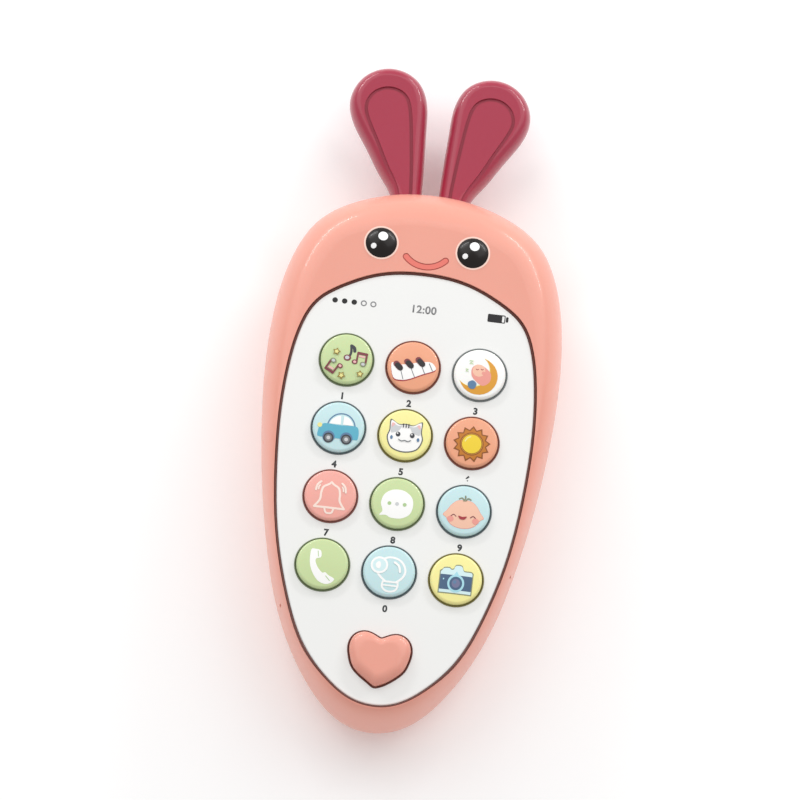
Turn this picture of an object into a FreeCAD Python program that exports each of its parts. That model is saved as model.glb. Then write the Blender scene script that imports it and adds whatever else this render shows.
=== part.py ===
"""Toy cell phone: a carrot-shaped casing with two soft ears, twelve round keys and a heart key.

The phone lies on its back: +Z is up and out of its face, +Y runs from its tip to its ears, and X runs
across it.  While it is built, Y is measured from the tip of the casing.  The last step moves every
piece so that the origin is under the middle of the whole phone.  All sizes are in millimetres.
"""
import FreeCAD
import Part
import math
import os
from FreeCAD import Vector

# ---- driving sizes: casing -------------------------------------------------------------------------
CASE_LENGTH = 146.4            # forehead to the line that the shares start from, just beyond the tip
CASE_WIDTH = 77.2              # at the widest, two thirds of the way up
WALL = 1.8
FRONT_ROLL = 2.6               # how far the rim rolls in from the side, near the tip
FOREHEAD_ROLL = 9.3            # how much more the forehead rolls in at its far end
REAR_ROLL = 7.0
REAR_END_ROLL = 4.0
ROLL_START = 0.27              # share of the length where the roll starts to widen
ROLL_WEIGHT = 0.76             # roundness of the rolled edge: 0.707 is an ellipse
CREASE_WIDTH = 0.7
CREASE_DEPTH = 0.5
CREASE_DROP = 7.0              # how far down the side the creases run

# outline of the casing and of the white panel, as shares of the half width and of the length
CASE_SHAPE = [(0.0, 0.0045), (0.288, 0.0305), (0.476, 0.0835), (0.604, 0.1375), (0.738, 0.2183), (0.850, 0.3279),
              (0.927, 0.4375), (0.977, 0.5461), (1.0, 0.6767), (0.966, 0.7923), (0.886, 0.872), (0.759, 0.9288),
              (0.5, 0.9738), (0.25, 0.9942)]
PANEL_SHAPE = [(0.175, 0.0347), (0.342, 0.0663), (0.505, 0.1156), (0.663, 0.2053), (0.788, 0.3279),
               (0.845, 0.4505), (0.860, 0.5531), (0.839, 0.6418), (0.788, 0.7106), (0.700, 0.7584),
               (0.540, 0.7913), (0.280, 0.8212)]
PANEL_BOTTOM_SHARE = 0.0243
PANEL_TOP_SHARE = 0.8297
CREASES = [(-1, 0.9189), (-1, 0.7136), (-1, 0.4963), (-1, 0.1983), (1, 0.881), (1, 0.6727), (1, 0.299)]

# ---- driving sizes: heights, which add up to the thickness of the casing -----------------------------
CELL_DIAMETER = 10.5
CELL_LENGTH = 44.5
CELL_CLEARANCE = 0.3
COVER_THICKNESS = 1.6
COVER_INSET = 0.2              # how far the battery cover sits in from the back face
BAY_WALL = 1.5
SPACE_UNDER_BOARD = 1.8
BOARD_THICKNESS = 1.6
POST_HEIGHT = 5.4
PANEL_THICKNESS = 2.0
PANEL_RECESS = 0.6

cell_bottom = COVER_INSET + COVER_THICKNESS + 0.5
bay_ceiling = cell_bottom + CELL_DIAMETER + CELL_CLEARANCE
board_bottom = bay_ceiling + BAY_WALL + SPACE_UNDER_BOARD
board_top = board_bottom + BOARD_THICKNESS
panel_bottom = board_top + POST_HEIGHT
panel_top = panel_bottom + PANEL_THICKNESS
case_top = panel_top + PANEL_RECESS
split = case_top / 2

# ---- driving sizes: panel, keys and rubber mat -------------------------------------------------------
PANEL_GAP = 0.35               # each side of the line between the rim and the panel
LEDGE_WIDTH = 2.6              # the ledge of the front shell that the panel sits on
RING_WALL = 1.5
KEY_GAP = 3.5                  # between one key hole and the next across the panel
KEY_MARGIN = 4.1               # between the outer key holes and the panel's edge at the last row
KEY_RUNNING_GAP = 0.25
KEY_FLANGE = 0.75
KEY_FLANGE_THICKNESS = 1.2
KEY_FLANGE_GAP = 0.05
KEY_RISE = 1.6                 # above the panel
KEY_EDGE = 0.75
KEY_CROWN = 0.3                # how much the key's face is domed
KEY_TRAVEL = 1.0
STEM_RADIUS = 2.6
KEY_ROW_SHARES = [0.6546, 0.5271, 0.3996, 0.2722]
HEART_HALF_WIDTH = 8.0
HEART_HEIGHT = 14.2
HEART_RISE = 2.6
HEART_CROWN = 3.4              # how far the heart's edge rolls in
HEART_ROLL = 2.2               # the height of that roll
HEART_WEIGHT = 0.72
HEART_Y_SHARE = 0.1092
MAT_THICKNESS = 0.8
DOME_RADIUS = 3.4

# ---- driving sizes: face and ears --------------------------------------------------------------------
EYE_RADIUS = 4.15
EYE_X = 12.05
EYE_Y_SHARE = 0.8785
EYE_RISE = 1.5
EYE_PEG = 1.6
SMILE_HALF_WIDTH = 6.1
SMILE_DROP = 2.3
SMILE_STROKE = 1.85
SMILE_DEPTH = 0.35
SMILE_Y_SHARE = 0.8426         # the lowest point of its middle line
EAR_REACH = 34.0              # beyond the casing
EAR_SHIFT = -0.8               # the pair of ears stands a little to the left of the middle
EAR_HEAD_RADIUS = 10.3
EAR_HEAD_X = 13.6
EAR_NECK_INNER = 2.15
EAR_NECK_OUTER = 10.4
EAR_THICKNESS = 9.0
EAR_ROLL = 2.8
EAR_FOOT_DEPTH = 5.0
EAR_FOOT_FLANGE = 1.4
GROOVE_HEAD_RADIUS = 6.3
GROOVE_HEAD_DROP = 2.0         # how much lower than the ear's the head of the groove is centred
GROOVE_NECK_INSET = 2.6
GROOVE_WIDTH = 0.9
GROOVE_DEPTH = 0.6

# ---- driving sizes: battery bay, switch, speaker and screws ------------------------------------------
CELLS = 3
BAY_START = 38.0               # inside of the bay wall nearest the tip
PLATE_THICKNESS = 0.5
SPRING_WIRE = 0.35
SPRING_COILS = 4
COVER_SIDE = 1.9               # how far the cover laps each side of the bay
COVER_GAP = 0.2
COVER_FOOT = 9.0               # from the bay to the cover's end with the screw
COVER_HEAD = 4.0               # from the bay to the edge that the cover swings on
COVER_CORNER = 3.0
TAB_REACH = 1.8
TAB_THICKNESS = 1.0
TAB_WIDTH = 5.0
COVER_SCREW_RADIUS = 1.0
COVER_SCREW_HEAD = 2.1
COVER_SCREW_REACH = 2.2
BOSS_RADIUS = 2.6
SWITCH_LENGTH = 12.0
SWITCH_WIDTH = 5.5
SWITCH_HEIGHT = 5.0
SWITCH_TRAVEL = 4.0
KNOB_LENGTH = 3.4
KNOB_WIDTH = 2.4
SPEAKER_RADIUS = 13.0
SPEAKER_HEIGHT = 5.2
SPEAKER_FROM_END = 29.5
GRILLE_HOLE = 0.8
GRILLE_PITCH = 3.1
SPEAKER_SEAT_HEIGHT = 3.5
SWITCH_GUIDE_WALL = 1.0
SWITCH_GUIDE_HEIGHT = 2.5
WIRE_RADIUS = 0.55
SCREW_RADIUS = 1.25
SCREW_HEAD_RADIUS = 2.2
SCREW_HEAD_HEIGHT = 1.5
CASE_SCREWS = [(22.5, 0.885), (17.0, 0.1535)]     # x, and the share of the length

EPS = 0.01


# ---- geometry helpers --------------------------------------------------------------------------------
def closed_curve(points):
    """A smooth closed outline through points given in order round it."""
    curve = Part.BSplineCurve()
    curve.interpolate(Points=[Vector(x, y, 0) for x, y in points], PeriodicFlag=True)
    return curve


def mirrored(points):
    """Points of the right half, bottom to top, made into a whole outline."""
    left = [(-x, y) for x, y in reversed(points) if x > EPS]
    return points + left


def offset_curve(curve, inset, samples=64):
    """The outline moved in by a distance, which may be a function of y."""
    start, end = curve.FirstParameter, curve.LastParameter
    knots = [start + (end - start) * i / samples for i in range(samples + 1)]
    points = []
    for knot in knots[:-1]:
        point, tangent = curve.value(knot), curve.tangent(knot)[0]
        distance = inset(point.y) if callable(inset) else inset
        points.append(point + Vector(-tangent.y, tangent.x, 0) * distance)
    moved = Part.BSplineCurve()
    moved.interpolate(Points=points, PeriodicFlag=True, Parameters=knots)
    return moved


def at_height(curve, z):
    lifted = curve.copy()
    lifted.translate(Vector(0, 0, z))
    return Part.Wire(lifted.toShape())


def prism(curve, z0, z1):
    return Part.Face(at_height(curve, z0)).extrude(Vector(0, 0, z1 - z0))


def pillow(outer, inner, z_edge, z_face, weight):
    """A solid with a rolled side: from the outer outline at z_edge to the inner one at z_face."""
    poles = []
    weights = []
    for low, high in zip(outer.getPoles(), inner.getPoles()):
        poles.append([Vector(low.x, low.y, z_edge), Vector(low.x, low.y, z_face),
                      Vector(high.x, high.y, z_face)])
        weights.append([1.0, weight, 1.0])
    side = Part.BSplineSurface()
    side.buildFromPolesMultsKnots(poles, outer.getMultiplicities(), [3, 3], outer.getKnots(), [0, 1],
                                  True, False, 3, 2, weights)
    faces = [side.toShape(), Part.Face(at_height(outer, z_edge)), Part.Face(at_height(inner, z_face))]
    solid = Part.Solid(Part.Shell(faces))
    if solid.Volume < 0:
        solid.reverse()
    return solid


def rolled(edge, roll, z_edge, z_face):
    """A pillow whose roll is a distance in from its edge, which may be a function of y."""
    return pillow(offset_curve(edge, 0.0), offset_curve(edge, roll), z_edge, z_face, ROLL_WEIGHT)


def cylinder(x, y, radius, z0, z1):
    return Part.makeCylinder(radius, z1 - z0, Vector(x, y, z0))


def block(x0, x1, y0, y1, z0, z1):
    return Part.makeBox(x1 - x0, y1 - y0, z1 - z0, Vector(x0, y0, z0))


def rounded_block(x0, x1, y0, y1, z0, z1, radius):
    solid = block(x0, x1, y0, y1, z0, z1)
    upright = [e for e in solid.Edges if abs(e.Vertexes[0].Z - e.Vertexes[-1].Z) > EPS]
    return solid.makeFillet(radius, upright)


def turned(profile, x, y):
    """A solid of revolution about the upright line at x, y: profile is (radius, z) pairs or arcs."""
    edges = []
    here = profile[0]
    for step in profile[1:]:
        if len(step) == 2:
            edges.append(Part.makeLine(Vector(here[0], 0, here[1]), Vector(step[0], 0, step[1])))
            here = step
        else:
            mid, end = (step[0], step[1]), (step[2], step[3])
            arc = Part.Arc(Vector(here[0], 0, here[1]), Vector(mid[0], 0, mid[1]), Vector(end[0], 0, end[1]))
            edges.append(arc.toShape())
            here = end
    edges.append(Part.makeLine(Vector(here[0], 0, here[1]), Vector(profile[0][0], 0, profile[0][1])))
    solid = Part.Face(Part.Wire(edges)).revolve(Vector(0, 0, 0), Vector(0, 0, 1), 360)
    solid.translate(Vector(x, y, 0))
    return solid


def dome_arc(radius, z_edge, rise):
    """The arc, for turned(), from a dome's edge up to its top on the axis."""
    sphere = (radius ** 2 + rise ** 2) / (2 * rise)
    middle = radius / 2
    return (middle, z_edge + math.sqrt(sphere ** 2 - middle ** 2) - (sphere - rise), 0, z_edge + rise)


def fused(shapes):
    whole = shapes[0].fuse(shapes[1:]) if len(shapes) > 1 else shapes[0]
    return whole.removeSplitter()


def both_sides(x, y):
    """A place and its mirror image."""
    return [(x, y), (-x, y)]


# ---- outlines ----------------------------------------------------------------------------------------
def scaled(shape):
    return [(x * CASE_WIDTH / 2, y * CASE_LENGTH) for x, y in shape]


case_curve = closed_curve(mirrored(scaled(CASE_SHAPE) + [(0.0, CASE_LENGTH)]))
panel_curve = closed_curve(mirrored([(0.0, PANEL_BOTTOM_SHARE * CASE_LENGTH)] + scaled(PANEL_SHAPE)
                                    + [(0.0, PANEL_TOP_SHARE * CASE_LENGTH)]))


def widening(y):
    """0 near the tip, rising to 1 at the forehead's far end."""
    share = (y / CASE_LENGTH - ROLL_START) / (1 - ROLL_START)
    return max(share, 0.0) ** 1.5


def front_roll(y):
    """How far in the front shell's edge rolls at a height y."""
    return FRONT_ROLL + FOREHEAD_ROLL * widening(y)


def rear_roll(y):
    """How far in the rear shell's edge rolls at a height y."""
    return REAR_ROLL + REAR_END_ROLL * widening(y)


def half_width_at(curve, y):
    """Half the width of an outline at a height y."""
    line = Part.makeLine(Vector(0, y, 0), Vector(CASE_WIDTH, y, 0))
    nearest = line.distToShape(curve.toShape())[1]
    return nearest[0][0].x


# ---- places worked out from the sizes ----------------------------------------------------------------
key_rows = [share * CASE_LENGTH for share in KEY_ROW_SHARES]
key_hole = (half_width_at(panel_curve, key_rows[3]) - KEY_MARGIN - KEY_GAP) / 3
key_radius = key_hole - KEY_RUNNING_GAP
key_column = 2 * key_hole + KEY_GAP
KEY_NAMES = [["key_1", "key_2", "key_3"], ["key_4", "key_5", "key_6"], ["key_7", "key_8", "key_9"],
             ["key_call", "key_0", "key_camera"]]
key_places = {}
for row, names in enumerate(KEY_NAMES):
    for column, name in enumerate(names):
        key_places[name] = ((column - 1) * key_column, key_rows[row])
heart_y = HEART_Y_SHARE * CASE_LENGTH
flange_top = panel_bottom - KEY_FLANGE_GAP
flange_bottom = flange_top - KEY_FLANGE_THICKNESS
stem_bottom = flange_bottom - 1.15

bay_end = BAY_START + CELL_LENGTH + 2 * PLATE_THICKNESS + 2 * SPRING_WIRE * SPRING_COILS
bay_half = CELLS * (CELL_DIAMETER + CELL_CLEARANCE) / 2 + 0.3
cover_half = bay_half + COVER_SIDE
cover_foot = BAY_START - COVER_FOOT
cover_edge = bay_end + COVER_HEAD
cover_top = COVER_INSET + COVER_THICKNESS
cover_screw_y = BAY_START - BAY_WALL - BOSS_RADIUS - 0.9
switch_y = cover_edge + TAB_REACH + 1.0 + SWITCH_WIDTH / 2
speaker_y = CASE_LENGTH - SPEAKER_FROM_END
cell_x = [(i - (CELLS - 1) / 2) * (CELL_DIAMETER + CELL_CLEARANCE) for i in range(CELLS)]
cell_z = cell_bottom + CELL_DIAMETER / 2
case_screw_places = [place for x, share in CASE_SCREWS for place in both_sides(x, share * CASE_LENGTH)]
post_x = key_column / 2
post_places = both_sides(post_x, (key_rows[0] + key_rows[1]) / 2) \
    + both_sides(post_x, (key_rows[2] + key_rows[3]) / 2)


# ---- ears --------------------------------------------------------------------------------------------
def round_points(x, y, radius, angles):
    return [(x + radius * math.cos(math.radians(a)), y + radius * math.sin(math.radians(a))) for a in angles]


def ear_points(radius, head_x, head_y, inner, outer, foot_y):
    """One ear's outline, anticlockwise: a round foot, a neck that widens outwards and a round head."""
    foot = (outer - inner) / 2
    shoulder = round_points(head_x, head_y, radius, [-32])[0]
    foot_points = round_points(inner + foot, foot_y + foot, foot, (180, 225, 270, 315, 360))
    neck = foot_points[-1]
    outside = [(neck[0] + (shoulder[0] - neck[0]) * t, neck[1] + (shoulder[1] - neck[1]) * t)
               for t in (0.3, 0.65)]
    lean = head_x - radius - inner
    inside = [(inner + lean * part, head_y - (head_y - foot_y) * drop)
              for part, drop in ((0.76, 0.15), (0.5, 0.37), (0.2, 0.65))]
    return foot_points + outside + round_points(head_x, head_y, radius, (-32, 0, 45, 90, 135, 180)) + inside


def ear():
    """A soft ear: a rolled teardrop with a shallow groove, and a foot that the shells clamp."""
    head_y = CASE_LENGTH + EAR_REACH - EAR_HEAD_RADIUS
    foot_y = CASE_LENGTH - EAR_FOOT_DEPTH
    edge = closed_curve(ear_points(EAR_HEAD_RADIUS, EAR_HEAD_X, head_y, EAR_NECK_INNER, EAR_NECK_OUTER,
                                   foot_y))
    half = EAR_THICKNESS / 2
    body = fused([rolled(edge, EAR_ROLL, split, split + half), rolled(edge, EAR_ROLL, split, split - half)])
    foot = rounded_block(EAR_NECK_INNER - 0.7, EAR_NECK_OUTER + 0.7, foot_y, foot_y + 3.0,
                         split - half + 0.8, split + half - 0.8, EAR_FOOT_FLANGE / 2)
    groove_edge = closed_curve(ear_points(GROOVE_HEAD_RADIUS, EAR_HEAD_X, head_y - GROOVE_HEAD_DROP,
                                          EAR_NECK_INNER + GROOVE_NECK_INSET,
                                          EAR_NECK_OUTER - GROOVE_NECK_INSET / 2, foot_y + 2.0))
    top = split + half
    groove = prism(groove_edge, top - GROOVE_DEPTH, top + 1)
    groove = groove.cut(prism(offset_curve(groove_edge, GROOVE_WIDTH), top - GROOVE_DEPTH - 1, top + 2))
    return fused([body, foot]).cut(groove)


ear_right = ear()
ear_left = ear_right.mirror(Vector(0, 0, 0), Vector(1, 0, 0))
for one_ear in (ear_left, ear_right):
    one_ear.translate(Vector(EAR_SHIFT, 0, 0))


# ---- eyes and smile ----------------------------------------------------------------------------------
def eye(x):
    """A glossy dome with a peg that is pressed through the forehead."""
    y = EYE_Y_SHARE * CASE_LENGTH
    lip = 0.5
    return turned([(0, case_top - WALL - 2.5), (EYE_PEG, case_top - WALL - 2.5), (EYE_PEG, case_top - lip),
                   (EYE_RADIUS, case_top - lip), (EYE_RADIUS, case_top),
                   dome_arc(EYE_RADIUS, case_top, EYE_RISE)], x, y)


def smile_cutter():
    """A curved round-ended channel for the painted mouth."""
    y = SMILE_Y_SHARE * CASE_LENGTH
    chord, drop, r = SMILE_HALF_WIDTH - SMILE_STROKE / 2, SMILE_DROP, SMILE_STROKE / 2
    big = (chord ** 2 + drop ** 2) / (2 * drop)
    centre = y + big
    reach = math.asin(chord / big)
    z0 = case_top - SMILE_DEPTH

    def on(radius, angle):
        return Vector(radius * math.sin(angle), centre - radius * math.cos(angle), z0)

    ends = [on(big, reach) + Vector(r * math.cos(reach), r * math.sin(reach), 0),
            on(big, -reach) + Vector(-r * math.cos(reach), r * math.sin(reach), 0)]
    edges = [Part.Arc(on(big + r, -reach), on(big + r, 0), on(big + r, reach)).toShape(),
             Part.Arc(on(big + r, reach), ends[0], on(big - r, reach)).toShape(),
             Part.Arc(on(big - r, reach), on(big - r, 0), on(big - r, -reach)).toShape(),
             Part.Arc(on(big - r, -reach), ends[1], on(big + r, -reach)).toShape()]
    return Part.Face(Part.Wire(edges)).extrude(Vector(0, 0, 2))


# ---- shells ------------------------------------------------------------------------------------------
def case_half(roll, z_face):
    """One half of the casing as a hollow shell, open at the split."""
    outer = rolled(case_curve, roll, split, z_face)
    inward = WALL if z_face > split else -WALL
    inner = rolled(offset_curve(case_curve, WALL), roll, split, z_face - inward)
    return outer, outer.cut(inner)


def creases(z0, z1):
    """Short notches round the edge of the casing, like the rings of a carrot."""
    cutters = []
    for side, share in CREASES:
        y = share * CASE_LENGTH
        x = half_width_at(case_curve, y)
        ahead = half_width_at(case_curve, y + 1.0)
        turn = math.degrees(math.atan2(ahead - x, 1.0))
        notch = block(-CREASE_DEPTH, 3.0, -CREASE_WIDTH / 2, CREASE_WIDTH / 2, z0, z1)
        notch.rotate(Vector(0, 0, 0), Vector(0, 0, 1), -turn)
        notch.translate(Vector(x, y, 0))
        if side < 0:
            notch = notch.mirror(Vector(0, 0, 0), Vector(1, 0, 0))
        cutters.append(notch)
    return cutters


def front_shell():
    """Face half: the forehead, the rim, and the ring and ledge that the panel sits on."""
    outer, shell = case_half(front_roll, case_top)
    ring = prism(offset_curve(panel_curve, -RING_WALL), board_top, case_top).common(outer)
    shell = fused([shell, ring])
    recess = prism(offset_curve(panel_curve, -PANEL_GAP), panel_bottom, case_top + 1)
    well = prism(offset_curve(panel_curve, LEDGE_WIDTH), board_top - 1, case_top + 1)
    shell = shell.cut([recess, well])
    bosses = []
    for x, y in case_screw_places:
        high = y > PANEL_TOP_SHARE * CASE_LENGTH
        top = case_top - WALL + 0.2 if high else panel_bottom
        bosses.append(cylinder(x, y, BOSS_RADIUS, split, top))
        if not high:
            side = 1 if x > 0 else -1
            web = block(min(x, x + side * 6), max(x, x + side * 6), y - 0.8, y + 0.8, board_top, panel_bottom)
            bosses.append(web.common(outer))
    shell = fused([shell] + bosses)
    cutters = [cylinder(x, y, SCREW_RADIUS, split - 1, board_top + 2.5) for x, y in case_screw_places]
    for x in (-EYE_X, EYE_X):
        cutters.append(eye(x))
    cutters += creases(case_top - CREASE_DROP, case_top - 1.4)
    cutters += [smile_cutter(), ear_left, ear_right]
    return shell.cut(cutters)


def battery_bay():
    """Upside-down box for the cells, with a post and a web for the cover's screw."""
    walls = block(-bay_half - BAY_WALL, bay_half + BAY_WALL, BAY_START - BAY_WALL, bay_end + BAY_WALL,
                  cover_top, bay_ceiling + BAY_WALL)
    boss = cylinder(0, cover_screw_y, BOSS_RADIUS, cover_top, split - 2)
    web = block(-0.8, 0.8, cover_screw_y, BAY_START - BAY_WALL + 0.2, cover_top, split - 2)
    return [walls, boss, web]


def grille():
    """Round holes in rings under the speaker."""
    holes = [cylinder(0, speaker_y, GRILLE_HOLE, -1, WALL + 1)]
    for ring in (1, 2, 3):
        for i in range(6 * ring):
            angle = 2 * math.pi * i / (6 * ring)
            holes.append(cylinder(GRILLE_PITCH * ring * math.sin(angle), speaker_y + GRILLE_PITCH * ring * math.cos(angle),
                                  GRILLE_HOLE, -1, WALL + 1))
    return holes


def rear_shell():
    """Back half: the battery bay, the speaker seat, the switch slot and the screw posts."""
    outer, shell = case_half(rear_roll, 0.0)
    seat = cylinder(0, speaker_y, SPEAKER_RADIUS + 0.2 + BAY_WALL, WALL - 0.2, WALL + SPEAKER_SEAT_HEIGHT)
    posts = [cylinder(x, y, BOSS_RADIUS, 0.0, split).common(outer) for x, y in case_screw_places]
    guide_x = SWITCH_LENGTH / 2 + SWITCH_GUIDE_WALL
    guide_y = SWITCH_WIDTH / 2 + SWITCH_GUIDE_WALL
    guide = block(-guide_x, guide_x, switch_y - guide_y, switch_y + guide_y, WALL - 0.2, WALL + SWITCH_GUIDE_HEIGHT)
    shell = fused([shell, seat, guide] + posts + battery_bay())
    lap = 1.0
    cutters = [
        block(-bay_half, bay_half, BAY_START, bay_end, -1, bay_ceiling),
        rounded_block(-cover_half - COVER_GAP, cover_half + COVER_GAP, cover_foot - COVER_GAP,
                      cover_edge + COVER_GAP, -1, cover_top + 0.01, COVER_CORNER + COVER_GAP),
        cylinder(0, cover_screw_y, COVER_SCREW_RADIUS + 0.45, 0, cover_top + COVER_SCREW_REACH + 1.5),
        cylinder(0, speaker_y, SPEAKER_RADIUS + 0.2, WALL, WALL + 4),
        block(-SWITCH_LENGTH / 2 - 0.1, SWITCH_LENGTH / 2 + 0.1, switch_y - SWITCH_WIDTH / 2 - 0.1,
              switch_y + SWITCH_WIDTH / 2 + 0.1, WALL, WALL + 4),
        block(-(SWITCH_TRAVEL + KNOB_LENGTH) / 2 - 0.4, (SWITCH_TRAVEL + KNOB_LENGTH) / 2 + 0.4,
              switch_y - KNOB_WIDTH / 2 - 0.3, switch_y + KNOB_WIDTH / 2 + 0.3, -1, WALL + 1),
    ]
    for x, y in case_screw_places:
        cutters.append(cylinder(x, y, SCREW_RADIUS + 0.15, -1, split + 1))
        cutters.append(cylinder(x, y, SCREW_HEAD_RADIUS + 0.2, -1, 2.0 + SCREW_HEAD_HEIGHT))
    shell = shell.cut(cutters + grille() + [ear_left, ear_right])
    ledge_z = cover_top
    rim = rounded_block(-cover_half - lap, cover_half + lap, cover_foot - lap, cover_edge + COVER_GAP,
                        ledge_z, ledge_z + 1.2, COVER_CORNER)
    hollow = block(-bay_half, bay_half, BAY_START, bay_end, ledge_z - 1, ledge_z + 3)
    tab_room = block(-bay_half - 1, bay_half + 1, bay_end + BAY_WALL, cover_edge + 1, ledge_z - 1, ledge_z + 3)
    screw_hole = cylinder(0, cover_screw_y, COVER_SCREW_RADIUS + 0.45, 0, ledge_z + 3)
    heads = [cylinder(x, y, SCREW_HEAD_RADIUS + 0.2, -1, 2.0 + SCREW_HEAD_HEIGHT) for x, y in case_screw_places]
    return fused([shell, rim.cut([hollow, tab_room, screw_hole] + heads)])


# ---- panel, keys and what is under them --------------------------------------------------------------
def heart_curve():
    """Outline of the heart about its own middle: two lobes, a shallow dip and a rounded point."""
    w, h = HEART_HALF_WIDTH, HEART_HEIGHT
    right = [(0.0, -0.50 * h), (0.20 * w, -0.455 * h), (0.60 * w, -0.295 * h), (0.82 * w, -0.165 * h),
             (0.95 * w, 0.02 * h), (1.0 * w, 0.20 * h), (0.88 * w, 0.405 * h), (0.56 * w, 0.50 * h), (0.26 * w, 0.465 * h),
             (0.08 * w, 0.415 * h), (0.0, 0.402 * h)]
    return closed_curve(mirrored(right))


def heart_prism(grow, z0, z1):
    """The heart's outline, grown by a distance, as a straight block."""
    solid = prism(offset_curve(heart_curve(), -grow), z0, z1)
    solid.translate(Vector(0, heart_y, 0))
    return solid


def panel():
    """The white face plate, dropped into the front shell, with posts down to the circuit board."""
    plate = prism(offset_curve(panel_curve, PANEL_GAP), panel_bottom, panel_top)
    rim = [e for e in plate.Edges if e.BoundBox.ZMin > panel_top - EPS]
    plate = plate.makeFillet(0.4, rim)
    posts = [cylinder(x, y, BOSS_RADIUS - 0.4, board_top, panel_bottom + 0.2) for x, y in post_places]
    holes = [cylinder(x, y, key_hole, panel_bottom - 1, panel_top + 1) for x, y in key_places.values()]
    holes.append(heart_prism(KEY_RUNNING_GAP, panel_bottom - 1, panel_top + 1))
    holes += [cylinder(x, y, SCREW_RADIUS - 0.25, board_top - 1, panel_bottom - 0.5) for x, y in post_places]
    return fused([plate] + posts).cut(holes)


def key(x, y):
    """A round cap with a soft edge, a flange that the panel holds down, and a stem on the mat."""
    r, e, top = key_radius, KEY_EDGE, panel_top + KEY_RISE
    bend = e * (1 - math.sqrt(0.5))
    return turned([(0, stem_bottom), (STEM_RADIUS, stem_bottom), (STEM_RADIUS, flange_bottom),
                   (r + KEY_FLANGE, flange_bottom), (r + KEY_FLANGE, flange_top), (r, flange_top),
                   (r, top - KEY_CROWN - e), (r - bend, top - KEY_CROWN - bend, r - e, top - KEY_CROWN),
                   dome_arc(r - e, top - KEY_CROWN, KEY_CROWN)], x, y)


def heart_key():
    """The big heart: a rolled crown on a straight body, with the same flange and stem as a key."""
    edge = heart_curve()
    face = edge.copy()
    face.scale(Vector(0, 0, 0), 1 - HEART_CROWN / HEART_HALF_WIDTH)
    shoulder = panel_top + HEART_RISE - HEART_ROLL
    crown = pillow(edge, face, shoulder, panel_top + HEART_RISE, HEART_WEIGHT)
    cap = crown.fuse(prism(edge, flange_bottom, shoulder))
    cap.translate(Vector(0, heart_y, 0))
    flange = heart_prism(KEY_FLANGE, flange_bottom, flange_top)
    stem = cylinder(0, heart_y, STEM_RADIUS, stem_bottom, flange_bottom)
    return fused([cap, flange, stem])


def board_outline(z0, z1, inset):
    """The panel's outline, cut short before the tip of the casing."""
    plate = prism(offset_curve(panel_curve, inset), z0, z1)
    cut_y = heart_y - HEART_HEIGHT / 2 + 1.0
    return plate.cut(block(-CASE_WIDTH, CASE_WIDTH, -10, cut_y, z0 - 1, z1 + 1))


def screw_clearance(z0, z1, gap):
    """Room round the case screw posts that pass through the board and the mat."""
    low = [(x, y) for x, y in case_screw_places if y < PANEL_TOP_SHARE * CASE_LENGTH]
    return [cylinder(x, y, BOSS_RADIUS + gap, z0 - 1, z1 + 1) for x, y in low]


def circuit_board():
    """A board under the keys, screwed to the panel's posts."""
    plate = board_outline(board_bottom, board_top, 1.2)
    holes = [cylinder(x, y, SCREW_RADIUS, board_bottom - 1, board_top + 1) for x, y in post_places]
    return plate.cut(holes + screw_clearance(board_bottom, board_top, 0.3))


def keypad_mat():
    """A silicone sheet on the board with a soft dome under each key."""
    top = board_top + MAT_THICKNESS
    sheet = board_outline(board_top, top, LEDGE_WIDTH + 0.6)
    cutters = [cylinder(x, y, BOSS_RADIUS, board_top - 1, top + 1) for x, y in post_places]
    cutters += screw_clearance(board_top, top, 0.3)
    for x, y in case_screw_places:
        side = 1 if x > 0 else -1
        cutters.append(block(min(x, x + side * 8), max(x, x + side * 8), y - 1.1, y + 1.1, board_top - 1, top + 1))
    sheet = sheet.cut(cutters)
    places = list(key_places.values()) + [(0, heart_y)]
    domes = []
    for x, y in places:
        cone = Part.makeCone(DOME_RADIUS, STEM_RADIUS - 0.3, stem_bottom - board_top, Vector(x, y, board_top))
        domes.append(cone)
    return fused([sheet] + domes)


def screw(x, y, z_head, z_tip, radius, head_radius, head_height):
    """A cross-head screw that points up, its head below."""
    head = cylinder(x, y, head_radius, z_head, z_head + head_height)
    head = head.makeFillet(0.35, [e for e in head.Edges if e.BoundBox.ZMax < z_head + EPS])
    shank = cylinder(x, y, radius, z_head + head_height, z_tip)
    slots = [block(x - 1.2, x + 1.2, y - 0.25, y + 0.25, z_head - 1, z_head + 0.7),
             block(x - 0.25, x + 0.25, y - 1.2, y + 1.2, z_head - 1, z_head + 0.7)]
    return head.fuse(shank).cut(slots)


# ---- batteries, contacts and cover -------------------------------------------------------------------
def cell(x, flipped):
    """An AAA cell lying along Y, with its nub at one end."""
    start = BAY_START + PLATE_THICKNESS + (0 if flipped else 2 * SPRING_WIRE * SPRING_COILS)
    nub = 0.8
    body_y = start + (nub if flipped else 0)
    body = Part.makeCylinder(CELL_DIAMETER / 2, CELL_LENGTH - nub, Vector(x, body_y, cell_z), Vector(0, 1, 0))
    nub_y = start if flipped else start + CELL_LENGTH - nub
    tip = Part.makeCylinder(1.9, nub, Vector(x, nub_y, cell_z), Vector(0, 1, 0))
    return body.fuse(tip).removeSplitter()


def springs():
    """Wound contact springs, pressed together by the cells."""
    coils = []
    for i, x in enumerate(cell_x):
        flipped = i % 2 == 1
        start = bay_end - PLATE_THICKNESS if flipped else BAY_START + PLATE_THICKNESS
        step = -1 if flipped else 1
        for coil in range(SPRING_COILS):
            y = start + step * SPRING_WIRE * (2 * coil + 1)
            coils.append(Part.makeTorus(3.1, SPRING_WIRE, Vector(x, y, cell_z), Vector(0, 1, 0)))
    return Part.makeCompound(coils)


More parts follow.
